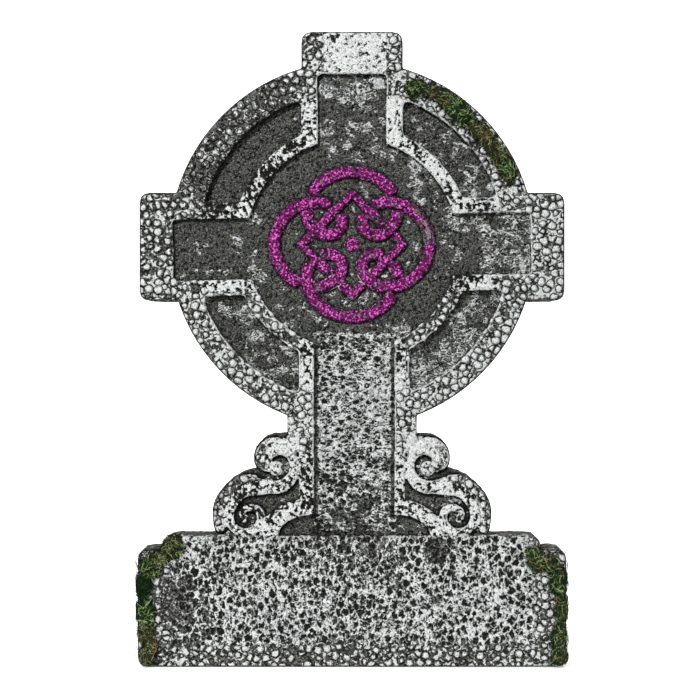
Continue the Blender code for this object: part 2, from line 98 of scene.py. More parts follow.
def product(tree, *values):
    total = values[0]
    for value in values[1:]:
        total = calc(tree, "MULTIPLY", total, value)
    return total


def ramp(tree, value, low, high, start=0.0, end=1.0):
    node = addNode(tree, "ShaderNodeMapRange", {"Value": value, "From Min": low, "From Max": high,
                                                "To Min": start, "To Max": end},
                   interpolation_type="SMOOTHSTEP")
    return node.outputs["Result"]


def blend(tree, share, first, second):
    # Colour between first and second
    node = addNode(tree, "ShaderNodeMix", {0: share}, data_type="RGBA")
    for socket, value in ((node.inputs[6], first), (node.inputs[7], second)):
        if isinstance(value, bpy.types.NodeSocket):
            tree.links.new(value, socket)
        else:
            socket.default_value = (*value, 1)
    return node.outputs[2]


def between(tree, share, first, second):
    # Number between first and second
    node = addNode(tree, "ShaderNodeMix", {0: share, 2: first, 3: second}, data_type="FLOAT")
    return node.outputs[0]


socketKinds = {"Place": "NodeSocketVector", "Colour": "NodeSocketColor",
               "Geometry": "NodeSocketGeometry"}


def newGroup(name, kind, inputs, outputs):
    # A node group for shaders or geometry. Its number inputs are given with their defaults.
    tree = bpy.data.node_groups.new(name, kind)
    for way, names in (("INPUT", inputs), ("OUTPUT", outputs)):
        for socketName in names:
            socketKind = socketKinds.get(socketName, "NodeSocketFloat")
            socket = tree.interface.new_socket(name=socketName, in_out=way,
                                               socket_type=socketKind)
            if way == "INPUT" and inputs[socketName] is not None:
                socket.default_value = inputs[socketName]
    start = tree.nodes.new("NodeGroupInput")
    end = tree.nodes.new("NodeGroupOutput")
    return tree, start.outputs, end.inputs


def useGroup(tree, group, **inputs):
    kind = "ShaderNodeGroup" if tree.bl_idname == "ShaderNodeTree" else "GeometryNodeGroup"
    node = tree.nodes.new(kind)
    node.node_tree = group
    for name, value in inputs.items():
        if isinstance(value, bpy.types.NodeSocket):
            tree.links.new(value, node.inputs[name])
        else:
            node.inputs[name].default_value = value
    return node.outputs


def addThing(name, data):
    thing = bpy.data.objects.new(name, data)
    bpy.context.scene.collection.objects.link(thing)
    return thing


def newPiece(name, mesh, slot, *replaced):
    piece = addThing(name, mesh)
    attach(piece, "root")
    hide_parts(*replaced)


def finishedMesh(thing):
    # The mesh with its modifiers applied
    evaluated = thing.evaluated_get(bpy.context.evaluated_depsgraph_get())
    mesh = bpy.data.meshes.new_from_object(evaluated)
    bpy.data.objects.remove(thing, do_unlink=True)
    return mesh


def coordinates(mesh):
    flat = np.zeros(len(mesh.vertices) * 3, np.float32)
    mesh.vertices.foreach_get("co", flat)
    return flat.reshape(-1, 3).astype(float)


def storeValues(mesh, name, values):
    kind = "FLOAT_VECTOR" if values.ndim == 2 else "FLOAT"
    attribute = mesh.attributes.new(name, kind, "POINT")
    attribute.data.foreach_set("vector" if values.ndim == 2 else "value",
                               values.astype(np.float32).ravel())


# Camera, light and floor

studio = {
    "cameraPlace": (-0.0018, -1.4225, 0.2794),
    "sensor": 36,
    "lens": 36 * 1.4 / 0.616,
    "aim": (0, 0, 0.28),
    "world": 0.16,
    # place, power and size of each soft light
    "key": ((-0.60, -1.62, 1.32), 49, 0.22),
    "fill": ((0.5, -1.8, 0.9), 3, 1.0),
    "behind": ((0.8, 1.1, 1.3), 18, 0.5),
    "floorColour": (0.9, 0.9, 0.9),
    "floorRoughness": 0.9,
    "glow": (0.30, 0.95),    # keeps the floor and the wall pale
    "floorStart": -0.32,
    "floorEnd": 1.2,
    "bend": 0.8,             # radius between the floor and the wall
    "wallTop": 3.5,
    "halfWidth": 4,
}


def addLight(name, place, power, size):
    light = bpy.data.lights.new(name, "AREA")
    light.energy = power
    light.size = size
    lamp = addThing(name, light)
    lamp.location = place
    aim = Vector(studio["aim"]) - Vector(place)
    lamp.rotation_euler = aim.to_track_quat("-Z", "Y").to_euler()


def setUpStudio():
    camera = addThing("camera", bpy.data.cameras.new("camera"))
    camera.location = studio["cameraPlace"]
    camera.rotation_euler = (radians(90), 0, 0)
    camera.data.sensor_width = studio["sensor"]
    camera.data.lens = studio["lens"]
    bpy.context.scene.camera = camera
    world = bpy.data.worlds.new("studio")
    world.use_nodes = True
    world.node_tree.nodes["Background"].inputs["Color"].default_value = (1, 1, 1, 1)
    world.node_tree.nodes["Background"].inputs["Strength"].default_value = studio["world"]
    bpy.context.scene.world = world
    for name in ("key", "fill", "behind"):
        addLight(name, *studio[name])
    bpy.context.scene.view_settings.view_transform = "Standard"
    # A pale sweep: floor, quarter round and wall
    floorEnd, bend, half = studio["floorEnd"], studio["bend"], studio["halfWidth"]
    profile = [(studio["floorStart"], 0), (floorEnd, 0)]
    profile += [(floorEnd + bend * sin(a), bend - bend * cos(a))
                for a in np.linspace(0.1, pi / 2, 12)]
    profile += [(floorEnd + bend, studio["wallTop"])]
    mesh = bpy.data.meshes.new("sweep")
    corners = [(x, y, z) for y, z in profile for x in (-half, half)]
    faces = [(2 * i, 2 * i + 1, 2 * i + 3, 2 * i + 2) for i in range(len(profile) - 1)]
    mesh.from_pydata(corners, [], faces)
    mesh.shade_smooth()
    sweep = addThing("sweep", mesh)
    for name, glow in zip(("floor paper", "wall paper"), studio["glow"]):
        paper = bpy.data.materials.new(name)
        paper.use_nodes = True
        shader = paper.node_tree.nodes["Principled BSDF"]
        shader.inputs["Base Color"].default_value = (*studio["floorColour"], 1)
        shader.inputs["Roughness"].default_value = studio["floorRoughness"]
        shader.inputs["Emission Color"].default_value = (1, 1, 1, 1)
        shader.inputs["Emission Strength"].default_value = glow
        mesh.materials.append(paper)
    for face in mesh.polygons[1:]:
        face.material_index = 1


setUpStudio()
print("studio ready")


# The block's even skin

skin = {
    "voxel": 0.00145,
    "triangles": 304000,
    "coarseFrom": 0.124,     # the cross is coarser behind above this height, the plinth nowhere
    "cut": 0.1146,           # height where the skin is parted into cross and plinth
    "fineReach": 0.0095,     # how far back from the front the skin stays fine
    "proud": 0.0008,         # how far relief may stand out of the block
}
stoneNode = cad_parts["cross_stone"]
blockLow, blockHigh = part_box("cross_stone")
frontFace = blockLow.y


def weldedBlock():
    # The block's own mesh, with its corners shared
    work = bmesh.new()
    work.from_mesh(stoneNode.data)
    bmesh.ops.remove_doubles(work, verts=work.verts, dist=1e-6)
    return work


def makeSkin():
    work = weldedBlock()
    mesh = bpy.data.meshes.new("skin")
    work.to_mesh(mesh)
    work.free()
    thing = addThing("skin", mesh)
    even = thing.modifiers.new("Even skin", "REMESH")
    even.mode = "VOXEL"
    even.voxel_size = skin["voxel"]
    wrap = thing.modifiers.new("Back on the block", "SHRINKWRAP")
    wrap.target = stoneNode
    wrap.wrap_method = "NEAREST_SURFACEPOINT"
    mesh = finishedMesh(thing)
    thing = addThing("skin", mesh)
    places = coordinates(mesh)
    coarse = thing.vertex_groups.new(name="coarse")
    behind = np.nonzero((places[:, 1] > frontFace + skin["fineReach"])
                        & (places[:, 2] > skin["coarseFrom"]))[0]
    coarse.add(behind.tolist(), 1.0, "REPLACE")
    triangles = sum(len(face.vertices) - 2 for face in mesh.polygons)
    thin = thing.modifiers.new("Coarser behind", "DECIMATE")
    thin.ratio = min(1, skin["triangles"] / triangles)
    thin.vertex_group = "coarse"
    thin.vertex_group_factor = 1000
    mesh = finishedMesh(thing)
    print("skin", triangles, "triangles, faces kept", len(mesh.polygons))
    return mesh


skinMesh = makeSkin()
rest = coordinates(skinMesh)


# Lines of the carving, read off the block

def flatLines():
    # Outer silhouette, and the sharp edges of the carving, as pairs of points seen from in front
    work = weldedBlock()
    work.normal_update()
    outline, carved = [], []
    for edge in work.edges:
        first, second = edge.verts
        if abs(first.co.y - second.co.y) > 1e-5 or len(edge.link_faces) != 2:
            continue
        pair = (Vector((first.co.x, first.co.z)), Vector((second.co.x, second.co.z)))
        tilts = sorted(abs(face.normal.y) for face in edge.link_faces)
        if abs(first.co.y - frontFace) < 2e-5 and tilts[0] < 0.3 and tilts[1] > 0.95:
            carved.append(pair)
        longest = max(abs(v.co.y - first.co.y) for face in edge.link_faces for v in face.verts)
        if tilts[0] < 0.1 and longest > 0.02 and first.co.y < 0:
            outline.append(pair)
    work.free()
    return outline, carved


def distanceTo(lines, places):
    # In millimetres, seen from in front
    flat = places[:, (0, 2)]
    best = np.full(len(flat), 1.0)
    for first, second in lines:
        start, along = np.array(first), np.array(second - first)
        share = np.clip((flat - start) @ along / max(along @ along, 1e-12), 0, 1)
        gap = flat - start - share[:, None] * along
        best = np.minimum(best, np.einsum("ij,ij->i", gap, gap))
    return np.sqrt(best) / mm


outlineLines, carvedLines = flatLines()
rimGap = distanceTo(outlineLines, rest)
edgeGap = distanceTo(carvedLines, rest)
print("lines", len(outlineLines), len(carvedLines))


# Zones of the front, where the paint and the relief differ

plan = {
    "ringHeight": 372.7,
    "discRadius": 92,
    "knotRadius": 84,
    "knotFloor": 6.0,
    "collar": (6.8, 12.5),    # the bare ring round the centre dot
    "stepTop": 115.5,
    "panelHalf": 35.6,
    "panelShift": 2.0,
    "panelTop": 300,
    "shaftHalf": 48.0,
    "scrollTop": 207,
    "frameWidth": 8.3,
    "carved": 8.5,            # what lies less deep than this is front
    "sunk": (1.2, 3.2),       # depth where a field begins and where it is full
    "strand": (4.2, 2.6),     # the same for the raised band of a scroll
    # where the beads begin and where they are full
    "armEnds": (150, 160),
    "headEnd": (512, 524),
    "headLeft": (-18, -34),
    "rim": (133, 138),
    "neck": (46, 49),
    "plinthEnds": (148, 172),
    "plinthFoot": (26, 12),
    "scrollEdge": (10.5, 8.5),
    "scrollLow": (206, 182),
}
across = rest[:, 0] / mm
up = rest[:, 2] / mm
depth = (rest[:, 1] - frontFace) / mm
ringGap = np.hypot(across, up - plan["ringHeight"])


def frontZones():
    shares = {}
    front = (depth < plan["carved"]) * 1.0
    plinth = up < plan["stepTop"] + 0.5
    scrolls = (np.abs(across) > plan["shaftHalf"] - 2) & (up < plan["scrollTop"]) & ~plinth
    sunk = ease(depth, *plan["sunk"]) * (rimGap > plan["frameWidth"]) * front
    panel = np.abs(across - plan["panelShift"]) < plan["panelHalf"] + 1
    panel = panel & (up < plan["panelTop"]) & ~plinth
    shares["panel"] = sunk * panel * ease(up, plan["panelTop"] + 5, plan["panelTop"] - 15)
    shares["field"] = sunk * (1 - shares["panel"]) * ~scrolls
    raised = (1 - sunk) * front
    ends = np.maximum(ease(np.abs(across), *plan["armEnds"]) * (np.abs(up - 370) < 60),
                      ease(up, *plan["headEnd"]) * ease(across, *plan["headLeft"]))
    rim = ease(ringGap, *plan["rim"]) * (up > 190) * (np.abs(across) > 30)
    neck = ease(np.abs(across), *plan["neck"]) * (up > 180) * (up < 330) * ~scrolls
    ends = np.maximum(np.maximum(ends, rim), neck) * ~plinth
    plinthEnds = ease(np.abs(across), *plan["plinthEnds"]) * plinth
    foot = ease(up, *plan["plinthFoot"]) * plinth
    shares["pebble"] = raised * np.maximum(ends, np.maximum(plinthEnds, foot)) * ~scrolls
    shares["net"] = raised * plinth * (1 - shares["pebble"])
    shares["band"] = raised * ~plinth * (1 - shares["pebble"]) * ~scrolls
    strand = ease(depth, *plan["strand"]) * front
    shares["band"] = np.where(scrolls, strand, shares["band"])
    shares["field"] = np.where(scrolls, front - strand, shares["field"])
    outerScroll = ease(rimGap, *plan["scrollEdge"]) * ease(up, *plan["scrollLow"])
    outerScroll = scrolls * outerScroll * strand
    shares["pebble"] = np.maximum(shares["pebble"], outerScroll)
    shares["band"] = shares["band"] * (1 - outerScroll)
    shares["side"] = 1 - front
    return shares


zones = frontZones()


# Where the moss is thick: across, up, half width, half height, brown share and darkness

mossClumps = {
    "moss_ring": ((54.6, 510.8, 9, 11, 0.1, 0.2), (70, 506, 7, 6, 0.5, 0.3),
                  (82, 501, 9, 9.5, 0.35, 0.3), (90, 494, 10, 10.5, 0.05, 0.1),
                  (97, 485, 9, 9.5, 0.1, 0.3), (106, 477, 6.5, 6.5, 0.5, 0.3),
                  (114.4, 469.5, 9.5, 9.5, 0.65, 0.3), (122, 460, 7, 7, 0.5, 0.4),
                  (129, 450, 8.5, 9, 0.3, 0.4), (136, 440, 9.5, 10.5, 0.1, 0.3),
                  (141, 432, 5.5, 6.5, 0.1, 0.4)),
    "moss_plinth_left": ((-158, 107, 10, 11, 0.3, 0.2), (-170, 97, 9, 8, 0.4, 0.3),
                         (-179, 88, 10, 12, 0.1, 0.3), (-184, 72, 8, 12, 0.0, 0.8),
                         (-183, 49, 9, 12, 0.1, 0.3), (-180, 31, 9, 11, 0.4, 0.4),
                         (-173, 15, 5.5, 13, 0.8, 0.1), (-181, 12, 6, 9, 0.5, 0.4)),
    "moss_plinth_right": ((160, 102, 8, 7, 0.2, 0.2), (167, 93, 14, 8, 0.3, 0.3),
                          (181, 76, 9, 14, 0.15, 0.3), (184, 52, 7, 18, 0.3, 0.5),
                          (182, 28, 8, 14, 0.3, 0.3), (183, 10, 8, 12, 0.4, 0.4)),
}


def mossThickness(name, x, z):
    # Above 0 inside a clump, with the share of brown and the darkness there
    best, share, dark = np.full(np.shape(x), -9.0), np.zeros(np.shape(x)), np.zeros(np.shape(x))
    for cx, cz, wide, tall, brown, darkness in mossClumps[name]:
        value = 1 - np.hypot((x - cx) / wide, (z - cz) / tall)
        share = np.where(value > best, brown, share)
        dark = np.where(value > best, darkness, dark)
        best = np.maximum(best, value)
    return best, share, dark


def paintedMossShadow():
    # Painted shade on the foam under the clumps
    mossShadow = np.zeros(len(rest))
    for name in mossClumps:
        mossShadow = np.maximum(mossShadow, ease(mossThickness(name, across, up)[0], 0.25, 0.5))
    return mossShadow * ease(depth, 18, 9)


# How much white the dry brush left, by place

brush = {
    "even": 0.5,
    # across, up, reach and change, in millimetres: dim and bright patches
    "patches": ((-112, 462, 62, -0.42), (-135, 425, 40, -0.45), (-75, 505, 40, -0.5),
                (75, 318, 30, -0.40), (95, 345, 26, -0.30), (-150, 60, 45, -0.20),
                (-172, 372, 50, -0.24), (172, 372, 55, 0.42), (-60, 440, 30, -0.20),
                (77, 103, 13, -0.6), (0, 128, 60, -0.30), (-20, 372, 90, -0.10),
                (8, 530, 60, 0.42), (-42, 549, 14, -0.7), (0, 556, 90, -0.2), (56, 220, 34, 0.35),
                (-56, 220, 34, 0.25), (45, 250, 30, 0.25),
                (2, 285, 34, -0.22), (105, 285, 50, 0.24), (-100, 285, 40, 0.04),
                (76, 196, 22, 0.25), (-95, 147, 26, -0.30), (-162, 62, 26, -0.30),
                (-150, 30, 28, -0.15), (0, 60, 120, -0.05), (0, 330, 34, 0.25)),
    "bottom": -0.25,      # the lowest beads of the plinth are dimmer
    # across, up and half sizes of white lumps left in the corners of the fields
    "lumps": ((23.8, 514.8, 5.6, 6.0), (151.4, 351.6, 3.2, 5.0),
              (108.2, 417.6, 2.8, 5.0), (123.2, 423.7, 4.2, 4.2)),
}


def brushCover():
    cover = np.full(len(rest), brush["even"])
    for x, z, reach, change in brush["patches"]:
        cover += change * np.exp(-((across - x) ** 2 + (up - z) ** 2) / (2 * (reach * 0.6) ** 2))
    return cover + brush["bottom"] * ease(up, 34, 10)


def brushLumps():
    lump = np.full(len(rest), -1.0)
    for x, z, wide, tall in brush["lumps"]:
        lump = np.maximum(lump, 1 - np.hypot((across - x) / wide, (up - z) / tall))
    return lump * (depth < plan["carved"])


# Relief heights in millimetres

relief = {
    "net": 1.5,
    "panel": 1.3,
    "band": 5.0,
    "field": 2.2,
    "beads": 0.6,
    "side": 0.3,
    "knot": 2.4,
    "swell": 0.8,
    "strandHalf": 4.6,       # half width of a rounded strand, height of its edge and its crown
    "strandEdge": 3.0,
    "strandCrown": 3.0,
    "lump": 1.6,
    "knotShade": 4.0,        # how far the painted shade reaches from a strand and from a scroll
    "scrollShade": 5.5,
}


def nearStrands(strand, floor, reach):
    # 1 beside a strand, seen from in front, falling to 0 at the reach in millimetres
    tree = KDTree(int(strand.sum()))
    for i in np.nonzero(strand)[0]:
        tree.insert((across[i], up[i], 0), int(i))
    tree.balance()
    shade = np.zeros(len(rest))
    for i in np.nonzero(floor)[0]:
        gap = tree.find((across[i], up[i], 0))[2]
        shade[i] = max(0.0, 1 - gap / reach)
    return shade


knotRise = plan["knotFloor"] - depth
knotRise = knotRise * (ringGap < plan["knotRadius"]) * (depth < plan["knotFloor"] + 0.3)
collar = (ringGap > plan["collar"][0]) & (ringGap < plan["collar"][1])
knotRise = np.where(collar, np.minimum(knotRise, 0.0), knotRise)

onDisc = (ringGap < plan["discRadius"]) & (depth < plan["carved"])
onStrand = onDisc & (knotRise > 1.0)
atScrolls = ((np.abs(across) > plan["shaftHalf"] - 2) & (up > plan["stepTop"] + 1.5)
             & (up < plan["scrollTop"]) & (depth < plan["carved"]))
# Painted shade on the floor beside the knot's strands and on the pads beside the scroll bands
shade = nearStrands(onStrand, onDisc & ~onStrand, relief["knotShade"])
shade = np.maximum(shade, nearStrands(atScrolls & (depth < 1.0), atScrolls & (depth > 1.4),
                                      relief["scrollShade"]))
strandFall = nearStrands(onDisc & ~onStrand, onStrand, relief["strandHalf"])

stored = {"place": rest / mm, "cover": brushCover(), "lump": brushLumps(), "edgeGap": edgeGap,
          "rimGap": rimGap, "knotRise": knotRise, "strandShade": shade,
          "strandFall": strandFall, "mossShadow": paintedMossShadow(), **zones}
for valueName, values in stored.items():
    storeValues(skinMesh, valueName, np.asarray(values, float))
print("zones ready")


# Patterns, shared by the relief and the paint

patterns = {
    "plinth": {"Cell": 6.2, "Ragged": 0.46, "Round": 0.28, "Grain": 1.4, "Broad": 0.7},
    "shaft": {"Cell": 5.2, "Ragged": 0.55, "Round": 0.25, "Grain": 1.5, "Broad": 1.0},
    "plinthStretch": (1.05, 1.0, 0.86),
    "shaftStretch": (0.80, 1.0, 1.12),
    "pitSize": 3.0,
    "beadCell": 7.9,
    "beadLayer": (0.0, 4.1, 0.0),     # front beads come from one even layer of cells
    "beadStretch": (1.0, 0.0, 1.08),
}


def perSize(tree, size):
    # A texture's scale from the size of its features
    if isinstance(size, bpy.types.NodeSocket):
        return calc(tree, "DIVIDE", 1.0, size)
    return 1 / size


def grainAt(tree, place, size, detail=2.0, rough=0.5, twist=0.0):
    return addNode(tree, "ShaderNodeTexNoise", {"Vector": place, "Scale": perSize(tree, size),
                                                "Detail": detail, "Roughness": rough,
                                                "Distortion": twist}).outputs[0]


def cellsAt(tree, place, size, feature="F1", random=1.0):
    return addNode(tree, "ShaderNodeTexVoronoi", {"Vector": place, "Scale": perSize(tree, size),
                                                  "Randomness": random}, feature=feature,
                   voronoi_dimensions="3D").outputs


def stretched(tree, place, factors):
    return addNode(tree, "ShaderNodeVectorMath", {0: place, 1: factors},
                   operation="MULTIPLY").outputs[0]


def shifted(tree, place, by):
    return addNode(tree, "ShaderNodeVectorMath", {0: place, 1: by}, operation="ADD").outputs[0]


def swirled(tree, place, size, amount):
    # Place moved about by soft noise
    soft = addNode(tree, "ShaderNodeTexNoise", {"Vector": place, "Scale": perSize(tree, size),
                                                "Detail": 2.0})
    centred = addNode(tree, "ShaderNodeVectorMath", {0: soft.outputs["Color"],
                                                     1: (0.5, 0.5, 0.5)}, operation="SUBTRACT")
    shift = addNode(tree, "ShaderNodeVectorMath", {0: centred.outputs[0], "Scale": amount},
                    operation="SCALE")
    return shifted(tree, place, shift.outputs[0])


def swing(tree, value, amount):
    # A value round 0.5 turned into plus or minus half the amount
    return product(tree, calc(tree, "SUBTRACT", value, 0.5), amount)


def buildNetwork(name, kind):
    # Ragged ridges round sunk cells: Height is low in a cell and about 1 on a ridge
    tree, inputs, outputs = newGroup(name, kind, {"Place": None, **patterns["plinth"]},
                                     ("Height",))
    place, cell = inputs["Place"], inputs["Cell"]
    amount = product(tree, product(tree, cell, inputs["Ragged"]), 3.0)
    moved = swirled(tree, place, product(tree, cell, 0.5), amount)
    ridge = ramp(tree, cellsAt(tree, moved, cell, "DISTANCE_TO_EDGE")["Distance"],
                 0.0, 0.34, 1.0, 0.0)
    dome = ramp(tree, cellsAt(tree, moved, cell)["Distance"], 0.15, 0.75)
    height = between(tree, inputs["Round"], ridge, dome)
    fine = swing(tree, grainAt(tree, place, 2.2, 2.0, 0.6), inputs["Grain"])
    wide = swing(tree, grainAt(tree, place, 9.0), inputs["Broad"])
    height = sumOf(tree, height, sumOf(tree, fine, wide))
    tree.links.new(height, outputs["Height"])
    return tree


def buildBeads(name, kind):
    # Close foam beads: Inside is the distance in from a bead's outline, negative in the gaps
    tree, inputs, outputs = newGroup(name, kind, {"Place": None, "Cell": patterns["beadCell"]},
                                     ("Inside", "Tone"))
    cell = inputs["Cell"]
    moved = swirled(tree, inputs["Place"], 6.0, 2.2)
    centres = cellsAt(tree, moved, cell, "F1", 0.8)
    sides = cellsAt(tree, moved, cell, "DISTANCE_TO_EDGE", 0.8)
    split = addNode(tree, "ShaderNodeSeparateXYZ", {0: centres["Color"]})
    radius = product(tree, cell, ramp(tree, split.outputs[1], 0.0, 1.0, 0.36, 0.56))
    roundPart = calc(tree, "SUBTRACT", radius, product(tree, centres["Distance"], cell))
    sidePart = calc(tree, "SUBTRACT", product(tree, sides["Distance"], cell), 0.35)
    inside = addNode(tree, "ShaderNodeMath", {0: roundPart, 1: sidePart, 2: 0.5},
                     operation="SMOOTH_MIN").outputs[0]
    tree.links.new(inside, outputs["Inside"])
    tree.links.new(split.outputs[0], outputs["Tone"])
    return tree


def buildPits(name, kind):
    # Pitted paint of the bands: Height is low in a pit
    tree, inputs, outputs = newGroup(name, kind, {"Place": None, "Size": patterns["pitSize"]},
                                     ("Height",))
    place, size = inputs["Place"], inputs["Size"]
    pits = grainAt(tree, swirled(tree, place, size, 2.5), size, 1.0)
    height = sumOf(tree, pits, swing(tree, grainAt(tree, place, 16.0), 0.5))
    tree.links.new(height, outputs["Height"])
    return tree


networkForShape = buildNetwork("foam network relief", "GeometryNodeTree")
networkForPaint = buildNetwork("foam network", "ShaderNodeTree")
beadsForShape = buildBeads("foam beads relief", "GeometryNodeTree")
beadsForPaint = buildBeads("foam beads", "ShaderNodeTree")
pitsForShape = buildPits("band pits relief", "GeometryNodeTree")
pitsForPaint = buildPits("band pits", "ShaderNodeTree")


def frontBeads(tree, group, place):
    flat = shifted(tree, stretched(tree, place, patterns["beadStretch"]), patterns["beadLayer"])
    return useGroup(tree, group, Place=flat, Cell=patterns["beadCell"])


def sideBeads(tree, group, place):
    return useGroup(tree, group, Place=place, Cell=patterns["beadCell"])


def netAt(tree, group, place, kind):
    moved = stretched(tree, place, patterns[kind + "Stretch"])
    return useGroup(tree, group, Place=moved, **patterns[kind])["Height"]


def bandPits(tree, group, place):
    return useGroup(tree, group, Place=place, Size=patterns["pitSize"])["Height"]


# Raising the skin

def namedValue(tree, name, kind="FLOAT"):
    return addNode(tree, "GeometryNodeInputNamedAttribute", {"Name": name},
                   data_type=kind).outputs[0]


def raiseSkin(mesh):
    # Nothing is raised at the bottom edge, and the knot has a grain and a swell of its own
    calm = (knotRise < 0.3) * ease(up, 0.6, 3.0)
    rises = {name: zones[name] * relief[name] * calm
             for name in ("net", "panel", "band", "field")}
    rises["bead"] = zones["pebble"] * relief["beads"] * calm * ease(rimGap, 0.5, 3.5)
    rises["edge"] = zones["side"] * relief["side"] * calm * ease(depth, 9, 14)
    rises["grain"] = ease(knotRise, 0.5, 2.5) * relief["knot"]
    rises["swell"] = ease(knotRise, 0.2, 1.2) * relief["swell"]
    rises["lump"] = ease(brushLumps(), 0.0, 0.5) * relief["lump"]
    for name, rise in rises.items():
        storeValues(mesh, name + "Rise", rise)
    tree, inputs, outputs = newGroup("raise skin", "GeometryNodeTree", {"Geometry": None},
                                     ("Geometry",))
    place = namedValue(tree, "place", "FLOAT_VECTOR")
    plinth, shaft = (netAt(tree, networkForShape, place, kind) for kind in ("plinth", "shaft"))
    pits = bandPits(tree, pitsForShape, place)
    front, side = (beads(tree, beadsForShape, place)["Inside"]
                   for beads in (frontBeads, sideBeads))
    heights = {
        "net": calc(tree, "SUBTRACT", calc(tree, "MINIMUM", 0.95, plinth), 0.55),
        "panel": calc(tree, "SUBTRACT", calc(tree, "MINIMUM", 0.95, shaft), 0.55),
        "band": calc(tree, "SUBTRACT", calc(tree, "MINIMUM", 0.46, pits), 0.43),
        "field": calc(tree, "SUBTRACT", grainAt(tree, place, 4.2, 3.0, 0.6), 0.5),
        "bead": ramp(tree, front, -0.7, 2.2, -1.0, 1.0),
        "edge": ramp(tree, side, -0.7, 2.2, -1.0, 1.0),
        "grain": calc(tree, "SUBTRACT", grainAt(tree, place, 4.2, 2.0), 0.5),
        "swell": 1.0,
        "lump": grainAt(tree, place, 3.0, 2.0),
    }
    total = 0.0
    for name, height in heights.items():
        total = sumOf(tree, total, product(tree, namedValue(tree, name + "Rise"), height))
    metres = product(tree, total, mm)
    normal = tree.nodes.new("GeometryNodeInputNormal").outputs[0]
    offset = addNode(tree, "ShaderNodeVectorMath", {0: normal, "Scale": metres}, operation="SCALE")
    move = addNode(tree, "GeometryNodeSetPosition", {"Geometry": inputs["Geometry"],
                                                     "Offset": offset.outputs[0]})
    tree.links.new(move.outputs[0], outputs["Geometry"])
    thing = addThing("raised", mesh)
    step = thing.modifiers.new("Relief", "NODES")
    step.node_group = tree
    raised = finishedMesh(thing)
    raised.name = "foam_cross"
    places = coordinates(raised)
    # Strands of the knot are rounded off towards their edges
    top = relief["strandEdge"] + relief["strandCrown"] * np.sqrt(1 - strandFall ** 2)
    places[:, 1] += np.where(onStrand, np.maximum(knotRise - top, 0), 0) * mm
    places = np.clip(places, np.array(blockLow) - skin["proud"],
                     np.array(blockHigh) + skin["proud"])
    places[:, 2] = np.maximum(places[:, 2], blockLow.z)
    raised.vertices.foreach_set("co", places.astype(np.float32).ravel())
    raised.shade_smooth()
    return raised


foamMesh = raiseSkin(skinMesh)
print("relief ready")


# Paint

paint = {
    "charcoal": (0.100, 0.104, 0.094),
    "earth": (0.136, 0.134, 0.113),
    # gap is near black: the painted shade of pits, gaps and the foot of carved edges
    "gap": (0.008, 0.008, 0.007),
    "white": (0.80, 0.82, 0.81),
    "dimWhite": (0.33, 0.345, 0.34),
    "roughness": 0.82,
    "specular": 0.1,
    "bump": 0.0030,
    # heights in a pattern where the white begins and is full, and where the painted shade of a pit
    # is full and ends
    "netWhite": (0.61, 0.71),
    "netTouch": (0.34, 0.61),
    "netPit": (0.15, 0.50),
    "bandWhite": (0.39, 0.46),
    "bandPit": (0.34, 0.42),
    # millimetres from a carved edge, from the outer edge and in from a bead's outline
    "groove": (2.0, 4.5),
    "edgeLine": (0.8, 1.8),
    "bareRim": (1.1, 2.0),
    "beadReach": 3.4,         # how much further a fuller brush reaches down a bead
    "beadLeast": 0.22,        # the outline of a bead stays bare
}
glitter = {
    "mid": (0.220, 0.012, 0.150),
    "bright": (0.80, 0.17, 0.62),
    "dark": (0.032, 0.009, 0.028),
    "flake": 1.15,
    "roughness": 0.42,
    "metallic": 0.3,
    "wornRight": (46.0, 66.0),    # more is rubbed off past these places
    "wornTop": (425.0, 440.0),
}
wispStrokes = (
    {"stretch": (0.65, 1.0, 1.20), "shift": (31, 7, 90), "size": 7.5, "half": 0.042, "twist": 1.6},
    {"stretch": (0.9, 1.0, 1.1), "shift": (3, 47, 20), "size": 6.0, "half": 0.036, "twist": 1.4},
)


def attribute(tree, name, output="Fac"):
    return addNode(tree, "ShaderNodeAttribute", attribute_name=name).outputs[output]


def buildWisps():
    # Thin curved strokes that break off: 1 on a stroke
    tree, inputs, outputs = newGroup("brush wisps", "ShaderNodeTree",
                                     {"Place": None, "Amount": 0.5}, ("Mask",))
    place = inputs["Place"]
    strokes = []
    for stroke in wispStrokes:
        moved = shifted(tree, stretched(tree, place, stroke["stretch"]), stroke["shift"])
        grain = grainAt(tree, moved, stroke["size"], 1.0, 0.5, stroke["twist"])
        off = calc(tree, "ABSOLUTE", calc(tree, "SUBTRACT", grain, 0.5))
        strokes.append(ramp(tree, off, stroke["half"] * 0.7, stroke["half"], 1.0, 0.0))
    here = sumOf(tree, product(tree, grainAt(tree, place, 4.5, 1.0), 0.6),
                 grainAt(tree, place, 16.0, 1.0), product(tree, inputs["Amount"], 0.5))
    mask = product(tree, calc(tree, "MAXIMUM", *strokes), ramp(tree, here, 0.85, 0.88))
    tree.links.new(mask, outputs["Mask"])
    return tree


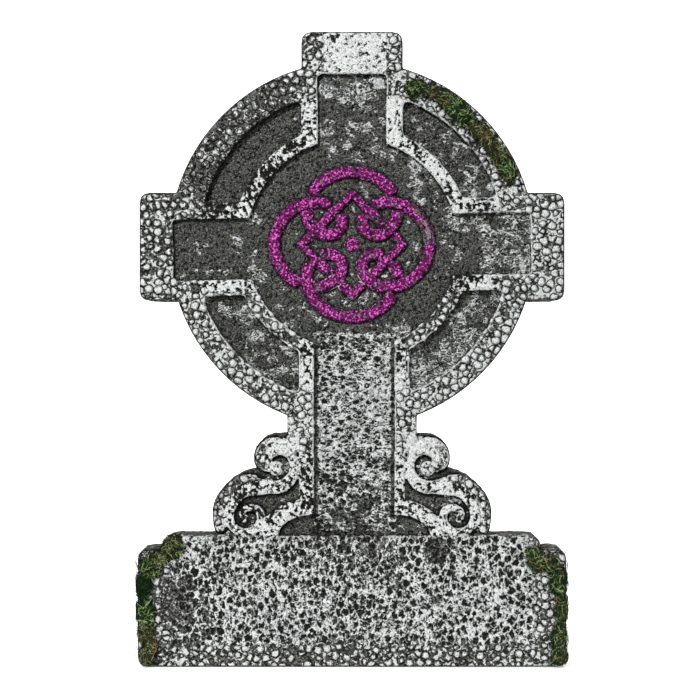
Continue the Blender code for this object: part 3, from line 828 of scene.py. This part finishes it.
def buildGround():
    # Charcoal and earth with pale scratches and painted shade in the low grains, and the three
    # grains behind them
    tree, inputs, outputs = newGroup("charcoal ground", "ShaderNodeTree", {"Place": None},
                                     ("Colour", "Grain", "Sand", "Broad"))
    place = inputs["Place"]
    grain = grainAt(tree, place, 1.1, 2.0, 0.65)
    sand = grainAt(tree, place, 2.6, 2.0, 0.62)
    broad = grainAt(tree, place, 11.0)
    colour = blend(tree, ramp(tree, broad, 0.35, 0.65), paint["charcoal"], paint["earth"])
    # Painted shade in the low grains of the sand and of the fine grain
    colour = blend(tree, ramp(tree, sand, 0.38, 0.52), paint["gap"], colour)
    scratch = calc(tree, "ABSOLUTE", calc(tree, "SUBTRACT", grainAt(tree, place, 3.0, 2.0), 0.5))
    scratch = product(tree, ramp(tree, scratch, 0.02, 0.06, 1.0, 0.0),
                      ramp(tree, grain, 0.46, 0.58, 0.0, 0.8))
    colour = blend(tree, scratch, colour, paint["dimWhite"])
    colour = blend(tree, ramp(tree, grain, 0.38, 0.50, 0.85, 0.0), colour, paint["gap"])
    for name, value in (("Colour", colour), ("Grain", grain), ("Sand", sand), ("Broad", broad)):
        tree.links.new(value, outputs[name])
    return tree


def buildEdgeWear():
    # White left along the carved edges, in broken lengths
    tree, inputs, outputs = newGroup("brushed edges", "ShaderNodeTree",
                                     {"Place": None, "Gap": 9.0, "Cover": 0.0, "Sand": 0.5},
                                     ("Mask",))
    gap = sumOf(tree, inputs["Gap"], swing(tree, inputs["Sand"], 2.4))
    patchy = swing(tree, grainAt(tree, inputs["Place"], 6.0, 2.0), 1.8)
    patchy = sumOf(tree, inputs["Cover"], patchy)
    mask = product(tree, ramp(tree, gap, *paint["edgeLine"], 1.0, 0.0),
                   ramp(tree, patchy, -0.20, -0.02))
    tree.links.new(mask, outputs["Mask"])
    return tree


wisps = buildWisps()
groundPaint = buildGround()
edgeWear = buildEdgeWear()


# Each coat gives its white, its dark pits and its height. at holds the values at the spot.

def netCoat(tree, at, zone, kind="plinth"):
    # White ridges, with a greyer touch on the slopes below them, and painted shade in the sunk
    # cells
    net = netAt(tree, networkForPaint, at["place"], kind)
    value = net
    if kind == "shaft":
        # A bare groove at each side
        groove = ramp(tree, at["edgeGap"], *paint["groove"], 0.7, 0.0)
        value = calc(tree, "SUBTRACT", net, groove)
    value = sumOf(tree, value, at["lift"])
    mask = sumOf(tree, ramp(tree, value, *paint["netWhite"], 0.0, 0.82),
                 ramp(tree, value, *paint["netTouch"], 0.0, 0.18))
    low = product(tree, zone, ramp(tree, net, *paint["netPit"], 0.9, 0.0))
    return mask, low, product(tree, zone, calc(tree, "MINIMUM", net, 0.9), 1.6)


def shaftCoat(tree, at, zone):
    return netCoat(tree, at, zone, "shaft")


def bandCoat(tree, at, zone):
    # Bands: white, with painted shade in the pits
    pits = bandPits(tree, pitsForPaint, at["place"])
    value = sumOf(tree, pits, product(tree, at["cover"], 0.35))
    low = product(tree, zone, ramp(tree, value, *paint["bandPit"], 0.9, 0.0))
    height = product(tree, zone, calc(tree, "MINIMUM", pits, 0.46), 5.0)
    return ramp(tree, value, *paint["bandWhite"]), low, height


def fieldCoat(tree, at, zone):
    # Fields: wisps only, on sandy ground, with painted shade along the carved edges
    low = product(tree, zone, ramp(tree, at["edgeGap"], 0.8, 2.2, 0.6, 0.0))
    return at["wisp"], low, product(tree, at["sand"], zone, 4.0)


def beadCoat(tree, at, zone):
    # Beads: the brush touches the tops, so a thin cover leaves small caps. Painted shade darkens
    # the gaps between them.
    sand, lift = at["sand"], at["lift"]
    tops = frontBeads(tree, beadsForPaint, at["place"])
    inside = sumOf(tree, tops["Inside"], swing(tree, at["grain"], 0.9), swing(tree, sand, 2.4))
    needed = sumOf(tree, product(tree, lift, -paint["beadReach"]),
                  swing(tree, tops["Tone"], 0.9))
    needed = calc(tree, "MAXIMUM", needed, paint["beadLeast"])
    cap = ramp(tree, calc(tree, "SUBTRACT", inside, needed), -0.1, 0.4)
    crescent = product(tree, ramp(tree, inside, 0.3, 0.8), ramp(tree, inside, 1.2, 1.9, 1, 0),
                       ramp(tree, sand, 0.50, 0.58, 0.0, 0.75))
    pits = bandPits(tree, pitsForPaint, at["place"])
    pits = sumOf(tree, pits, product(tree, lift, 0.15))
    flecks = product(tree, ramp(tree, inside, -0.7, -0.4, 1.0, 0.0),
                     ramp(tree, pits, 0.50, 0.54, 0.0, 0.9))
    mask = calc(tree, "MINIMUM", sumOf(tree, cap, crescent, flecks), 1.0)
    low = product(tree, zone, ramp(tree, inside, -1.2, -0.4, 0.1, 0.9),
                  ramp(tree, inside, -0.1, 0.4, 1.0, 0.0))
    return mask, low, product(tree, zone, ramp(tree, tops["Inside"], -0.5, 1.6, 0.0, 1.0))


def sideCoat(tree, at, zone):
    # Sides and back: only a few grey touches on the beads, and painted shade between them
    tops = sideBeads(tree, beadsForPaint, at["place"])["Inside"]
    touched = sumOf(tree, tops, swing(tree, at["grain"], 2.2))
    mask = product(tree, ramp(tree, touched, 0.9, 2.4, 0.0, 0.5),
                   ramp(tree, at["broad"], 0.40, 0.60))
    low = product(tree, zone, ramp(tree, tops, -0.3, 0.4, 0.7, 0.0))
    return mask, low, product(tree, zone, ramp(tree, tops, -0.5, 1.6, 0.0, 1.2))


def knotCoat(tree, at, colour, height):
    # Glitter over the colour and height beneath, and where it lies, with painted shade and painted
    # glints on the strands
    place, sand, rise = at["place"], at["sand"], at["rise"]
    fall = attribute(tree, "strandFall")
    flakes = cellsAt(tree, place, glitter["flake"])["Color"]
    split = addNode(tree, "ShaderNodeSeparateColor", {"Color": flakes}).outputs
    # Darker flakes low on the strands and at their edges are painted shade; the flake tone, sand
    # and patches are wear
    wornAndShaded = sumOf(tree, split[0], swing(tree, sand, 2.6), ramp(tree, rise, 1.0, 4.5, -0.5, 0.16),
                 ramp(tree, fall, 0.6, 1.0, 0.0, -0.5),
                 ramp(tree, grainAt(tree, place, 4.5), 0.33, 0.42, -0.9, 0.0))
    flake = blend(tree, ramp(tree, wornAndShaded, 0.15, 0.60), glitter["dark"], glitter["mid"])
    # Bright flakes are painted glints, fewer towards the strand edges as a painted highlight on
    # the crowns
    paintedGlint = sumOf(tree, split[1], swing(tree, sand, 0.8), ramp(tree, fall, 0.5, 1.0, 0.06, -0.2))
    flake = blend(tree, ramp(tree, paintedGlint, 0.74, 0.92), flake, glitter["bright"])
    # Worn spots, most of them on the right side and at the top of the knot
    where = addNode(tree, "ShaderNodeSeparateXYZ", {0: place}).outputs
    rubbed = sumOf(tree, grainAt(tree, place, 7.5, 3.0, 0.6),
                   ramp(tree, where[0], *glitter["wornRight"], 0.0, -0.10),
                   ramp(tree, where[2], *glitter["wornTop"], 0.0, -0.05))
    onKnot = ramp(tree, sumOf(tree, rise, swing(tree, sand, 2.0)), 0.4, 1.0)
    onKnot = product(tree, onKnot, ramp(tree, rubbed, 0.35, 0.40, 0.15, 1.0))
    # Bare white at the foot of the strands, where the brush caught the edge
    foot = product(tree, ramp(tree, rise, 0.4, 1.0), ramp(tree, rise, 1.6, 2.6, 1.0, 0.0))
    caught = sumOf(tree, at["cover"], swing(tree, grainAt(tree, place, 5.0, 2.0), 1.2))
    foot = product(tree, foot, ramp(tree, caught, 0.12, 0.24, 0.0, 0.85))
    flake = blend(tree, foot, flake, paint["white"])
    knotHeight = sumOf(tree, product(tree, split[2], 0.6), product(tree, sand, 1.6))
    return blend(tree, onKnot, colour, flake), between(tree, onKnot, height, knotHeight), onKnot


zoneCoats = {"net": netCoat, "panel": shaftCoat, "band": bandCoat, "field": fieldCoat,
             "pebble": beadCoat, "side": sideCoat}


def brushedEdges(tree, at, kinds, zone, white):
    # White line along the carved edges, bare paint at the outer edge, and the white lumps
    line = useGroup(tree, edgeWear, Place=at["place"], Gap=at["edgeGap"], Cover=at["cover"],
                    Sand=at["sand"])["Mask"]
    sunken = [zone[kind] for kind in ("field", "panel") if kind in kinds]
    if sunken:
        line = product(tree, line, calc(tree, "SUBTRACT", 1.0, sumOf(tree, *sunken)))
    white = calc(tree, "MAXIMUM", white, line, clamp=True)
    rim = sumOf(tree, attribute(tree, "rimGap"), swing(tree, at["broad"], 2.0))
    rim = ramp(tree, rim, *paint["bareRim"])
    if "side" in kinds:
        rim = calc(tree, "MAXIMUM", rim, zone["side"])
    lump = sumOf(tree, attribute(tree, "lump"), swing(tree, at["sand"], 0.6))
    return calc(tree, "MAXIMUM", product(tree, white, rim), ramp(tree, lump, 0.0, 0.15))


def buildFoamPaint(name, kinds, withKnot=False):
    # kinds: the zones of the stone that this coat covers
    material = bpy.data.materials.new(name)
    material.use_nodes = True
    tree = material.node_tree
    shader = tree.nodes["Principled BSDF"]
    place = attribute(tree, "place", "Vector")
    ground = useGroup(tree, groundPaint, Place=place)
    cover = calc(tree, "SUBTRACT", attribute(tree, "cover"), 0.5)
    at = {"place": place, "edgeGap": attribute(tree, "edgeGap"), "grain": ground["Grain"],
          "sand": ground["Sand"], "broad": ground["Broad"], "cover": cover,
          "lift": sumOf(tree, cover, swing(tree, ground["Broad"], 0.5))}
    if "field" in kinds:
        shade = attribute(tree, "strandShade")
        amount = calc(tree, "SUBTRACT", cover, shade) if withKnot else cover
        at["wisp"] = useGroup(tree, wisps, Place=place, Amount=amount)["Mask"]

    ragged = swing(tree, grainAt(tree, place, 4.5), 0.9)
    zone, whites, paintedShades, heights = {}, [], [], []
    for kind in kinds:
        zone[kind] = attribute(tree, kind)
        if kind != "side":
            way = "ADD" if kind in ("pebble", "panel") else "SUBTRACT"
            zone[kind] = ramp(tree, calc(tree, way, zone[kind], ragged), 0.40, 0.60)
    for kind, coat in zoneCoats.items():
        if kind in kinds:
            mask, low, height = coat(tree, at, zone[kind])
            whites.append(product(tree, mask, zone[kind]))
            paintedShades.append(low)
            heights.append(height)
    white = sumOf(tree, *whites)
    if kinds != ("side",):
        white = brushedEdges(tree, at, kinds, zone, white)

    # Painted shade in pits and gaps, beside the strands and under the moss
    if "field" in kinds:
        paintedShades.append(ramp(tree, shade, 0.3, 0.8, 0.0, 0.9))
    if withKnot:
        at["rise"] = attribute(tree, "knotRise")
        white = product(tree, white, ramp(tree, at["rise"], 0.6, 1.4, 1.0, 0.2))
    else:
        # Painted shade under the moss clumps, where the white is also left off
        mossShadow = attribute(tree, "mossShadow")
        paintedShades.append(product(tree, mossShadow, 0.85))
        white = product(tree, white, calc(tree, "SUBTRACT", 1.0, mossShadow))
    colour = ground["Colour"]
    # Each painted shade darkens the colour towards near black
    for low in paintedShades:
        colour = blend(tree, low, colour, paint["gap"])
    whole = ramp(tree, at["grain"], 0.33, 0.55)
    if "field" in kinds:
        whole = calc(tree, "MAXIMUM", whole, product(tree, at["wisp"], zone["field"]))
    colour = blend(tree, white, colour, blend(tree, whole, paint["dimWhite"], paint["white"]))
    height = sumOf(tree, *heights, product(tree, white, 0.35), product(tree, at["grain"], 0.7))

    shader.inputs["Roughness"].default_value = paint["roughness"]
    shader.inputs["Specular IOR Level"].default_value = paint["specular"]
    if withKnot:
        colour, height, onKnot = knotCoat(tree, at, colour, height)
        roughness = between(tree, onKnot, paint["roughness"], glitter["roughness"])
        tree.links.new(roughness, shader.inputs["Roughness"])
        tree.links.new(product(tree, onKnot, glitter["metallic"]), shader.inputs["Metallic"])
    tree.links.new(colour, shader.inputs["Base Color"])
    bump = addNode(tree, "ShaderNodeBump", {"Height": height, "Strength": 1.0,
                                            "Distance": paint["bump"]})
    tree.links.new(bump.outputs[0], shader.inputs["Normal"])
    return material


coats = (
    ("foam paint of the sides", ("side",)),
    ("foam paint of the plinth", ("net", "pebble", "side")),
    ("foam paint of the shaft", ("panel", "field", "band")),
    ("foam paint of the carving", ("band", "field", "pebble", "side")),
    ("foam paint of the knot", ("field", "band")),
    ("foam paint of the joins", ("net", "panel", "band", "field", "pebble", "side")),
)


def paintSkin(mesh):
    # Each face gets the plainest coat that covers all the zones at its corners
    mesh.materials.clear()
    for name, kinds in coats:
        mesh.materials.append(buildFoamPaint(name, kinds, "knot" in name))
    starts = np.zeros(len(mesh.polygons), np.int32)
    mesh.polygons.foreach_get("loop_start", starts)
    corners = np.zeros(len(mesh.loops), np.int32)
    mesh.loops.foreach_get("vertex_index", corners)

    def highest(values):
        return np.maximum.reduceat(np.asarray(values, float)[corners], starts)

    present = {kind: highest(zones[kind]) > 0.001 for kind in coats[-1][1]}
    knotFace = highest((ringGap < 90) & (depth < plan["carved"])) > 0
    chosen = np.full(len(starts), len(coats) - 1, np.int32)
    for number, (name, kinds) in reversed(list(enumerate(coats))):
        missing = [present[kind] for kind in present if kind not in kinds]
        fits = ~np.any(missing, axis=0) if missing else np.full(len(starts), True)
        if "knot" in name:
            fits = fits & knotFace
        chosen[fits] = number
    knot = [number for number, (name, _) in enumerate(coats) if "knot" in name][0]
    outside = present["panel"] | present["pebble"] | present["side"] | present["net"]
    chosen[knotFace & ~outside] = knot
    mesh.polygons.foreach_set("material_index", chosen)
    print("coats", np.bincount(chosen, minlength=len(coats)))


def partMesh(mesh, name, above):
    # The skin on one side of the cut, closed again there
    work = bmesh.new()
    work.from_mesh(mesh)
    everything = work.verts[:] + work.edges[:] + work.faces[:]
    cut = bmesh.ops.bisect_plane(work, geom=everything, dist=1e-7, plane_co=(0, 0, skin["cut"]),
                                 plane_no=(0, 0, 1), clear_inner=above, clear_outer=not above)
    rim = [part for part in cut["geom_cut"] if isinstance(part, bmesh.types.BMEdge)]
    for edge in rim:
        edge.smooth = False
    for face in bmesh.ops.holes_fill(work, edges=rim)["faces"]:
        face.smooth = False
        face.material_index = 0
    loose = len([edge for edge in work.edges if not edge.is_manifold])
    parted = bpy.data.meshes.new(name)
    work.to_mesh(parted)
    work.free()
    for material in mesh.materials:
        parted.materials.append(material)
    triangles = sum(len(face.vertices) - 2 for face in parted.polygons)
    print(name, triangles, "triangles,", loose, "open edges")
    return parted


paintSkin(foamMesh)
for pieceName, above in (("foam_cross", True), ("foam_plinth", False)):
    newPiece(pieceName, partMesh(foamMesh, pieceName, above), "painted_foam", "cross_stone")
print("paint ready")


# Moss: tangled fibres glued over the edges

mossLooks = {
    "seed": 21,
    "perArea": 2.2,          # fibres for each square millimetre, before the clumps thin them
    "stray": 0.006,          # share of fibres that stay outside the clumps
    "clumpEdge": 0.20,
    "raggedness": 0.14,
    "steps": 3,
    "length": (3.5, 9.0),
    "width": (0.20, 0.44),
    "tip": 0.35,             # width of a tip, as a share of the middle
    "bend": 0.9,
    "hump": (0.2, 1.8),
    "sink": 2.6,             # how far in the deepest fibres lie
    "layer": 2.8,            # how much higher the top ones lie
    "reach": (1.3, 2.3),     # how far a fibre may stand off the foam, and more at the front
    "lit": 0.09,             # share of fibres on top painted as lit and pale
    "roughness": 0.85,
    "greens": ((0.002, 0.007, 0.002), (0.017, 0.054, 0.012), (0.280, 0.390, 0.160)),
    "browns": ((0.008, 0.007, 0.003), (0.300, 0.225, 0.110)),
}


def mossMaterial():
    material = bpy.data.materials.new("dyed moss fibres")
    material.use_nodes = True
    tree = material.node_tree
    shader = tree.nodes["Principled BSDF"]
    shade = attribute(tree, "shade")
    brown = attribute(tree, "brown")
    dark, mid, pale = mossLooks["greens"]
    # The painted light and shade of each fibre: dark to pale green, or dark to pale brown
    green = blend(tree, ramp(tree, shade, 0.0, 0.40), dark, mid)
    green = blend(tree, ramp(tree, shade, 0.35, 0.90), green, pale)
    earthy = blend(tree, shade, *mossLooks["browns"])
    tree.links.new(blend(tree, brown, green, earthy), shader.inputs["Base Color"])
    shader.inputs["Roughness"].default_value = mossLooks["roughness"]
    shader.inputs["Specular IOR Level"].default_value = paint["specular"]
    return material


def makeMoss(name, material, number):
    rng = np.random.default_rng(mossLooks["seed"] + number)
    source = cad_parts[name].data
    source.calc_loop_triangles()
    corners = coordinates(source)
    triangles = np.array([t.vertices[:] for t in source.loop_triangles])
    a, b, c = (corners[triangles[:, i]] for i in range(3))
    normals = np.cross(b - a, c - a)
    areas = np.linalg.norm(normals, axis=1) / 2
    normals /= np.maximum(2 * areas, 1e-15)[:, None]
    # Only the outward faces: not those that lie on the foam
    tree = BVHTree.FromPolygons([Vector(p) for p in rest],
                                [tuple(f.vertices) for f in skinMesh.polygons])
    middles = (a + b + c) / 3
    out = []
    for i, middle in enumerate(middles):
        _, normal, _, gap = tree.find_nearest(Vector(middle))
        out.append(Vector(normals[i]).dot(normal) > -0.3 or gap > 0.0012)
    areas = areas * np.array(out)
    count = int(areas.sum() / mm ** 2 * mossLooks["perArea"])
    chosen = rng.choice(len(areas), count, p=areas / areas.sum())
    u, v = rng.uniform(size=(2, count))
    u, v = np.where(u + v > 1, 1 - u, u), np.where(u + v > 1, 1 - v, v)
    roots = a[chosen] + (b - a)[chosen] * u[:, None] + (c - a)[chosen] * v[:, None]
    thick, brownShare, darkness = mossThickness(name, roots[:, 0] / mm, roots[:, 2] / mm)
    ragged = thick + rng.normal(0, mossLooks["raggedness"], count)
    wanted = ragged > mossLooks["clumpEdge"]
    wanted = wanted | (rng.uniform(size=count) < mossLooks["stray"])
    vertices, faces, shades, browns = [], [], [], []
    steps = mossLooks["steps"]
    lowest, highest = (np.array(corner) for corner in cadBox)
    for i in np.nonzero(wanted)[0]:
        root, normal = roots[i], normals[chosen[i]]
        heading = np.cross(normal, rng.normal(size=3))
        heading /= max(np.linalg.norm(heading), 1e-9)
        aside = np.cross(normal, heading)
        length = rng.uniform(*mossLooks["length"]) * mm
        width = rng.uniform(*mossLooks["width"]) * mm
        bend = rng.uniform(-mossLooks["bend"], mossLooks["bend"])
        # Painted light and shade: a few lit fibres lie on top and are pale, the others darker the
        # deeper they lie
        lit = rng.uniform() < mossLooks["lit"]
        lift = rng.uniform(0.85, 1.0) if lit else rng.uniform(0.0, 0.9)
        level = (mossLooks["layer"] * lift - mossLooks["sink"]) * mm
        hump = rng.uniform(*mossLooks["hump"]) * mm
        shade = rng.uniform(0.6, 1.1) if lit else lift * rng.uniform(0.0, 0.36)
        shade = shade * (1.15 - darkness[i])
        brown = float(rng.uniform() < brownShare[i])
        path = []
        for k in range(steps + 1):
            s = k / steps - 0.5
            point = root + heading * (s * length) + aside * (bend * (s * s) * length)
            point = point + normal * (level + hump * (1 - 4 * s * s))
            near, facing, _, gap = tree.find_nearest(Vector(point))
            reach = (mossLooks["reach"][0] + mossLooks["reach"][1] * max(0, -facing.y)) * mm
            if gap > reach:
                point = np.array(near) + (point - np.array(near)) * reach / gap
            path.append(np.clip(point, lowest + 0.0004, highest))
        base = len(vertices)
        for k, point in enumerate(path):
            taper = 1.0 if 0 < k < steps else mossLooks["tip"]
            for side in range(3):
                turn = side * 2 * pi / 3
                vertices.append(point + (aside * cos(turn) + normal * sin(turn)) * width * taper)
                shades.append(shade * (0.8 + 0.4 * k / steps))
                browns.append(brown)
        for k in range(steps):
            for side in range(3):
                first, second = base + 3 * k + side, base + 3 * k + (side + 1) % 3
                faces.append((first, second, second + 3, first + 3))
        faces.append((base + 2, base + 1, base))
        last = base + 3 * steps
        faces.append((last, last + 1, last + 2))
    mesh = bpy.data.meshes.new(name + "_fibres")
    mesh.from_pydata(vertices, [], faces)
    mesh.validate()
    storeValues(mesh, "shade", np.array(shades))
    storeValues(mesh, "brown", np.array(browns))
    mesh.materials.append(material)
    newPiece(name + "_fibres", mesh, "moss", name)
    count = int(wanted.sum())
    print(name, count, "fibres,", 2 * len(faces) - 2 * count, "triangles")


mossPaint = mossMaterial()
for number, mossName in enumerate(("moss_ring", "moss_plinth_left", "moss_plinth_right")):
    makeMoss(mossName, mossPaint, number)
